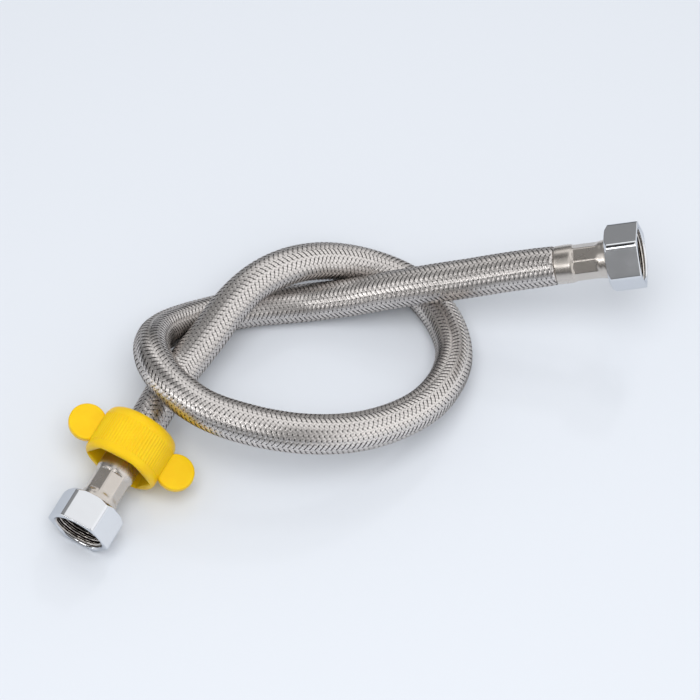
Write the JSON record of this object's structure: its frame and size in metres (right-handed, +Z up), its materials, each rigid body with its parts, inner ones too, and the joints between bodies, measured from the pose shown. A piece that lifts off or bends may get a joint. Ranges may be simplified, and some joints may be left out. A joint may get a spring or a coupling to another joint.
{
  "type": "braided flexible hose",
  "caption": "Flexible water hose with a woven metal sleeve, swaged hexagon union nuts and a loose winged ring for tightening by hand, tied in a loose knot.",
  "frame": {"origin": "under the middle of the box, on the surface that the hose lies on", "axes": "+Z up; +X from the end with the winged ring towards the other end, along the longest extent; +Y away from the viewer of the picture"},
  "size_m": [0.2388, 0.1402, 0.0594],
  "materials": {
    "nut_chrome": "polished chrome plate over brass",
    "sleeve_steel": "woven fine wire, bright, slightly warm",
    "ferrule_nickel": "satin nickel, swaged",
    "nipple_brass": "machined brass",
    "tube_rubber": "plain black rubber",
    "washer_rubber": "plain black rubber",
    "ring_plastic": "moulded yellow plastic, finely ribbed"
  },
  "bodies": {
    "hose": {"braid_sleeve": "sleeve_steel", "inner_tube": "tube_rubber", "nipple_a": "nipple_brass", "nipple_b": "nipple_brass", "ferrule_a": "ferrule_nickel", "ferrule_b": "ferrule_nickel"},
    "nut_a": {"union_nut_a": "nut_chrome", "seal_washer_a": "washer_rubber"},
    "nut_b": {"union_nut_b": "nut_chrome", "seal_washer_b": "washer_rubber"},
    "ring": {"tightening_ring": "ring_plastic"}
  },
  "joints": [
    {"name": "nut_a_spin", "type": "hinge", "parent": "hose", "child": "nut_a", "pos_m": [-0.10755, -0.06362, 0.01233], "axis": [-0.4823, -0.8681, -0.1179], "continuous": true},
    {"name": "nut_b_spin", "type": "hinge", "parent": "hose", "child": "nut_b", "pos_m": [0.11604, 0.04502, 0.04655], "axis": [0.967, -0.0143, 0.2543], "continuous": true},
    {"name": "ring_slide", "type": "slide", "parent": "nut_a", "child": "ring", "axis": [-0.4823, -0.8681, -0.1179], "range_m": [-0.004, 0.03]}
  ]
}
